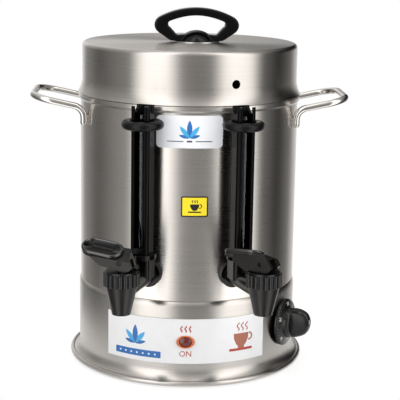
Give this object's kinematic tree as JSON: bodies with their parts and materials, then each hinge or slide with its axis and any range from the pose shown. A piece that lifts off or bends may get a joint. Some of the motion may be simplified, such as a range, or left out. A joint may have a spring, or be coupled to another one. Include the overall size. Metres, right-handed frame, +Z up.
{
  "type": "commercial tea maker",
  "caption": "Free-standing steel tea boiler with a heated base, a tank holding a brew pot and strainer, lever taps with level gauges, wire side handles and a deep lid with a bow handle.",
  "frame": {"origin": "on the tank's axis, in the plane that the rubber feet stand on", "axes": "+Z up along the tank's axis; the taps face -Y; +X to the right of someone facing the taps"},
  "size_m": [0.3038, 0.293, 0.3428],
  "materials": {
    "steel": "brushed round the axis",
    "heater_steel": "heat-darkened tube",
    "brass": "turned",
    "black_plastic": "moulded thermoset",
    "tap_plastic": "moulded, glossy",
    "rubber": "matt",
    "silicone": "satin",
    "panel": "white, satin",
    "lamp_lens": "translucent amber",
    "gauge_glass": "clear tube"
  },
  "bodies": {
    "boiler": {"base_shell": "steel", "base_plate": "steel", "tie_studs": "steel", "tie_nuts": "steel", "tank_shell": "steel", "tank_floor": "steel", "side_handle_left": "steel", "side_handle_right": "steel", "tea_pipe": "steel", "thermostat_nut": "steel", "rubber_feet": "rubber", "heater_washers": "rubber", "front_panel": "panel", "pilot_lamp_lens": "lamp_lens", "pilot_lamp_body": "black_plastic", "thermostat_body": "black_plastic", "cord_gland": "black_plastic", "heater_element": "heater_steel", "heater_nuts": "brass", "tea_pipe_sleeve": "silicone", "tea_tap_body": "tap_plastic", "tea_tap_spout": "tap_plastic", "tea_tap_collar": "tap_plastic", "tea_tap_nut": "tap_plastic", "tea_tap_spring": "steel", "tea_tap_washers": "rubber", "tea_gauge_glass": "gauge_glass", "tea_gauge_guard": "tap_plastic", "tea_gauge_ring": "rubber", "tea_gauge_seal": "silicone", "water_tap_body": "tap_plastic", "water_tap_spout": "tap_plastic", "water_tap_collar": "tap_plastic", "water_tap_nut": "tap_plastic", "water_tap_spring": "steel", "water_tap_washers": "rubber", "water_gauge_glass": "gauge_glass", "water_gauge_guard": "tap_plastic", "water_gauge_ring": "rubber", "water_gauge_seal": "silicone"},
    "brew_pot": {"brew_pot": "steel", "brew_pot_floor": "steel", "brew_pot_spigot": "steel"},
    "tea_strainer": {"tea_strainer": "steel"},
    "lid": {"lid_shell": "steel", "lid_handle": "black_plastic", "lid_handle_washer": "steel", "lid_handle_screw": "steel"},
    "thermostat_knob": {"thermostat_knob": "black_plastic"},
    "tea_tap_seal": {"tea_tap_seal": "silicone"},
    "tea_tap_stem": {"tea_tap_stem": "tap_plastic", "tea_tap_pin": "steel"},
    "tea_tap_lever": {"tea_tap_lever": "tap_plastic"},
    "water_tap_seal": {"water_tap_seal": "silicone"},
    "water_tap_stem": {"water_tap_stem": "tap_plastic", "water_tap_pin": "steel"},
    "water_tap_lever": {"water_tap_lever": "tap_plastic"}
  },
  "joints": [
    {"name": "brew_pot_lift", "type": "slide", "parent": "boiler", "child": "brew_pot", "axis": [0, 0, 1], "range_m": [0, 0.12]},
    {"name": "strainer_lift", "type": "slide", "parent": "brew_pot", "child": "tea_strainer", "axis": [0, 0, 1], "range_m": [0, 0.08]},
    {"name": "lid_lift", "type": "slide", "parent": "tea_strainer", "child": "lid", "axis": [0, 0, 1], "range_m": [0, 0.08]},
    {"name": "thermostat_turn", "type": "hinge", "parent": "boiler", "child": "thermostat_knob", "pos_m": [0.09699, -0.056, 0.046], "axis": [-0.866, 0.5, 0], "range_deg": [0, 270]},
    {"name": "tea_tap_lift", "type": "slide", "parent": "boiler", "child": "tea_tap_seal", "axis": [0, 0, 1], "range_m": [-0.00088, 0.00314], "deforming": ["tea_tap_spring"]},
    {"name": "tea_tap_turn", "type": "hinge", "parent": "tea_tap_seal", "child": "tea_tap_stem", "pos_m": [-0.062, -0.16153, 0.12], "axis": [0, 0, 1], "continuous": true},
    {"name": "tea_tap_tilt", "type": "hinge", "parent": "tea_tap_stem", "child": "tea_tap_lever", "pos_m": [-0.062, -0.16153, 0.13417], "axis": [0.2588, 0.9659, 0], "range_deg": [-13, 47]},
    {"name": "water_tap_lift", "type": "slide", "parent": "boiler", "child": "water_tap_seal", "axis": [0, 0, 1], "range_m": [0, 0.00401], "deforming": ["water_tap_spring"]},
    {"name": "water_tap_turn", "type": "hinge", "parent": "water_tap_seal", "child": "water_tap_stem", "pos_m": [0.062, -0.16153, 0.12], "axis": [0, 0, 1], "continuous": true},
    {"name": "water_tap_tilt", "type": "hinge", "parent": "water_tap_stem", "child": "water_tap_lever", "pos_m": [0.062, -0.16153, 0.1333], "axis": [0.5878, 0.809, 0], "range_deg": [0, 60]}
  ],
  "couplings": [
    {"joint": "tea_tap_lift", "follows": "tea_tap_tilt", "m_per_rad": 0.0038197},
    {"joint": "water_tap_lift", "follows": "water_tap_tilt", "m_per_rad": 0.0038197}
  ]
}
